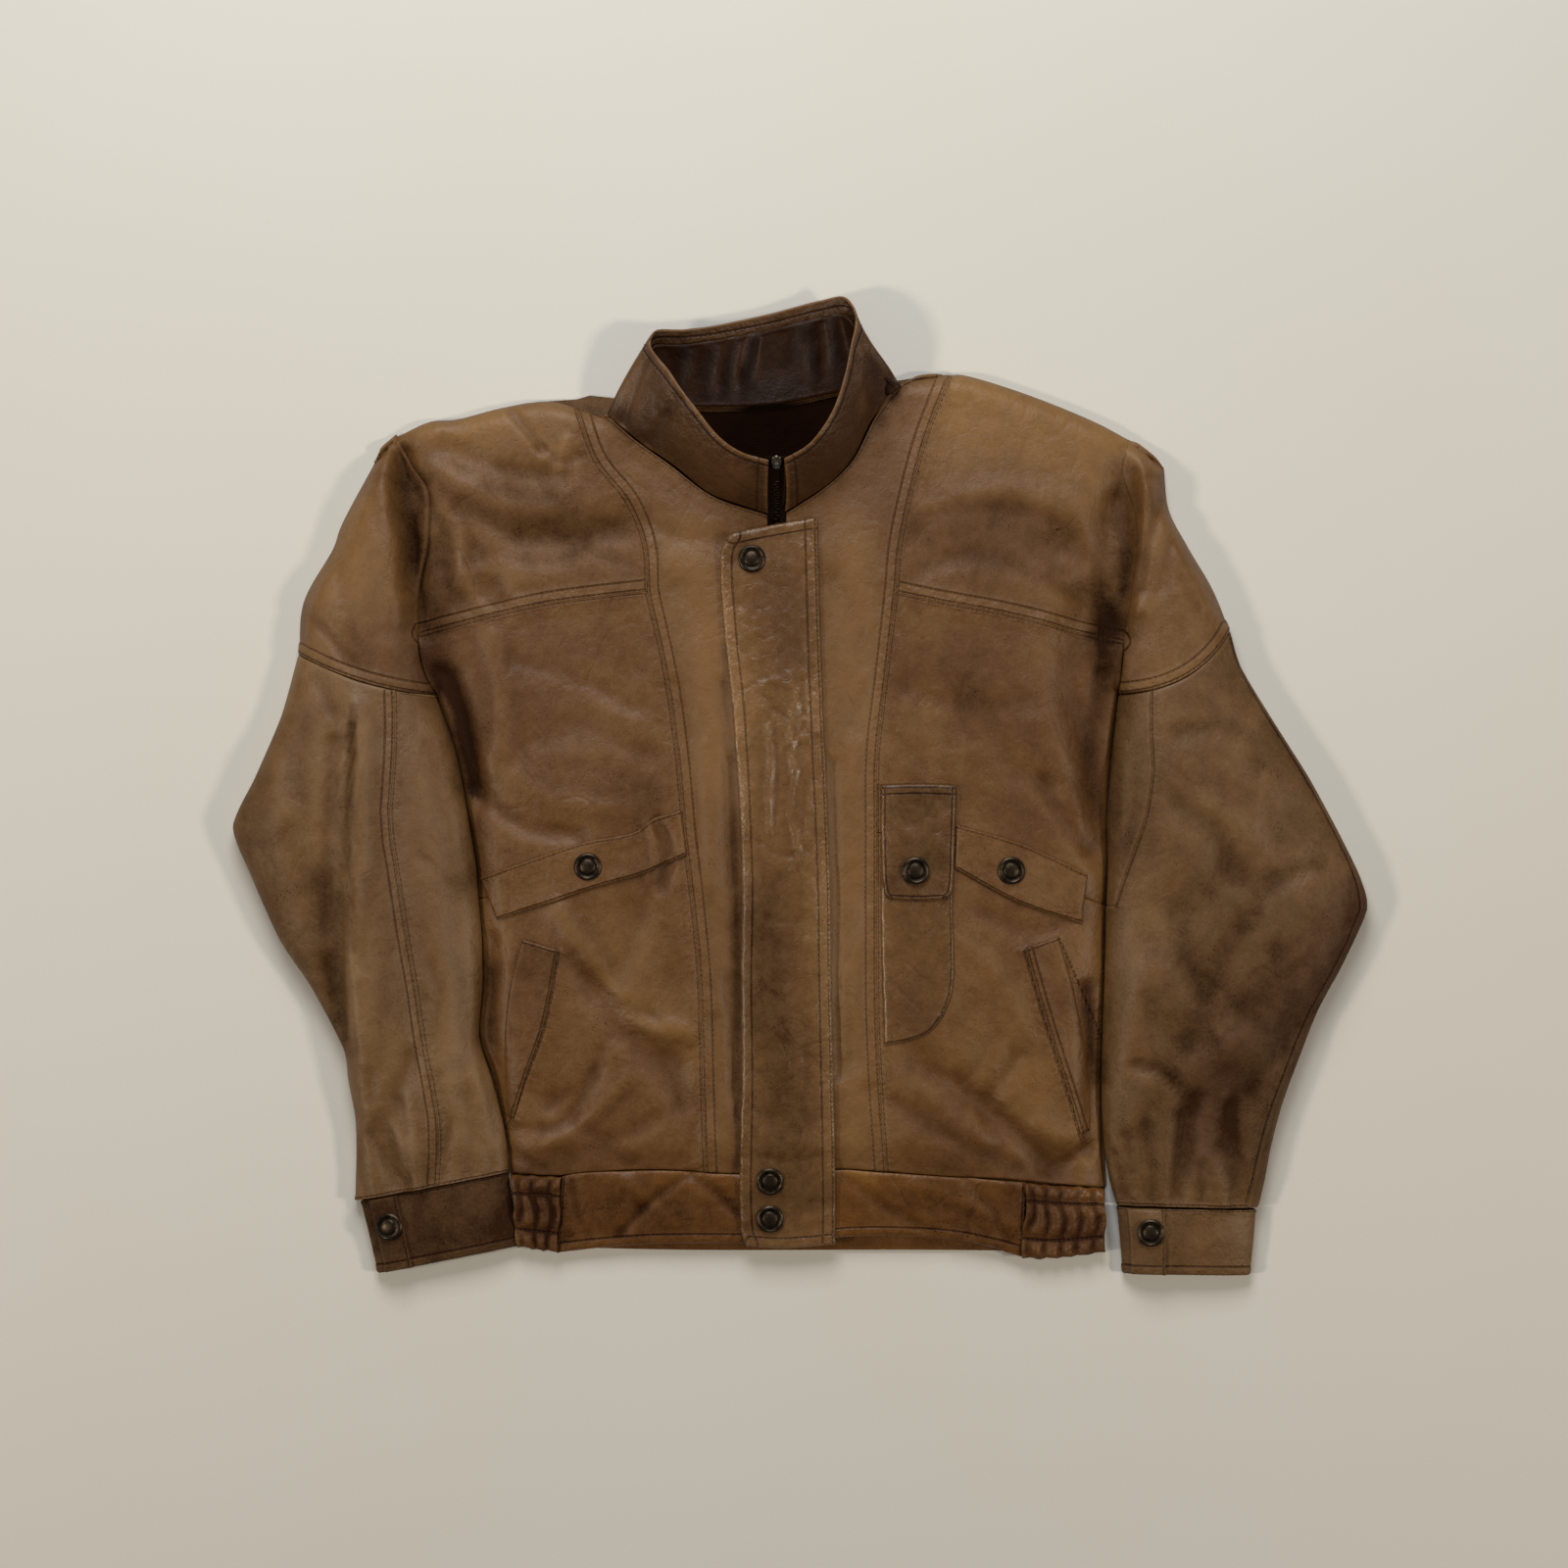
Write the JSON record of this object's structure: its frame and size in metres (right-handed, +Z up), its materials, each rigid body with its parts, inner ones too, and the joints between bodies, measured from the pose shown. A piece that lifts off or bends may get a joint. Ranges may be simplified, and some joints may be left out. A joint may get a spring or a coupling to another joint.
{
  "type": "leather blouson jacket laid flat",
  "caption": "Worn brown leather blouson laid flat on its back, zip closed to the stand collar, with a snapped storm flap, welt pockets, a pen pocket, snapped cuffs and an elasticated waistband",
  "frame": {"origin": "centre of the garment's footprint, on the surface it lies on", "axes": "+X the wearer's left, across the body; +Y from the hem to the collar; +Z up, out of the front of the garment"},
  "size_m": [0.8825, 0.7603, 0.0643],
  "materials": {
    "band_leather": "worn, dark, semi-matte",
    "brown_leather": "worn, soft, semi-matte",
    "dark_leather": "soft, matte",
    "glazed_leather": "rubbed glossy",
    "lining_cloth": "plain woven, matte",
    "snap_brass": "dark antique bronze",
    "tan_leather": "worn, lighter, semi-matte",
    "tape_cloth": "herringbone tape, matte",
    "zip_metal": "dull nickel"
  },
  "bodies": {
    "jacket": {"back_body": "brown_leather", "chest_welt_left": "glazed_leather", "chest_welt_right": "glazed_leather", "collar_facing": "dark_leather", "collar_outer": "brown_leather", "cuff_left": "band_leather", "cuff_right": "band_leather", "cuff_tab_left": "band_leather", "cuff_tab_right": "band_leather", "front_centre_left": "tan_leather", "front_centre_right": "tan_leather", "front_chest_left": "brown_leather", "front_chest_right": "brown_leather", "front_lower_left": "brown_leather", "front_lower_right": "brown_leather", "front_yoke_left": "brown_leather", "front_yoke_right": "brown_leather", "hand_welt_left": "glazed_leather", "hand_welt_right": "glazed_leather", "neck_lining": "lining_cloth", "pen_patch_left": "brown_leather", "pen_tab_left": "glazed_leather", "sleeve_back_left": "brown_leather", "sleeve_back_right": "brown_leather", "sleeve_front_right": "brown_leather", "sleeve_gusset_left": "brown_leather", "sleeve_top_left": "brown_leather", "snap_chest_left": "snap_brass", "snap_chest_right": "snap_brass", "snap_cuff_left": "snap_brass", "snap_cuff_right": "snap_brass", "snap_flap_hem": "snap_brass", "snap_flap_top": "snap_brass", "snap_flap_waist": "snap_brass", "snap_pen_tab": "snap_brass", "storm_flap": "glazed_leather", "waist_elastic_left": "band_leather", "waist_elastic_right": "band_leather", "waistband_back": "band_leather", "waistband_left": "band_leather", "waistband_right": "band_leather", "zip_slider": "zip_metal", "zip_tape_left": "tape_cloth", "zip_tape_right": "tape_cloth", "zip_teeth": "zip_metal"},
    "pull_tab": {"zip_pull_tab": "zip_metal"}
  },
  "joints": [
    {"name": "pull_tab_swing", "type": "hinge", "parent": "jacket", "child": "pull_tab", "pos_m": [-0.018, 0.24723, 0.0513], "axis": [1, 0, 0], "range_deg": [-15, 140]}
  ]
}
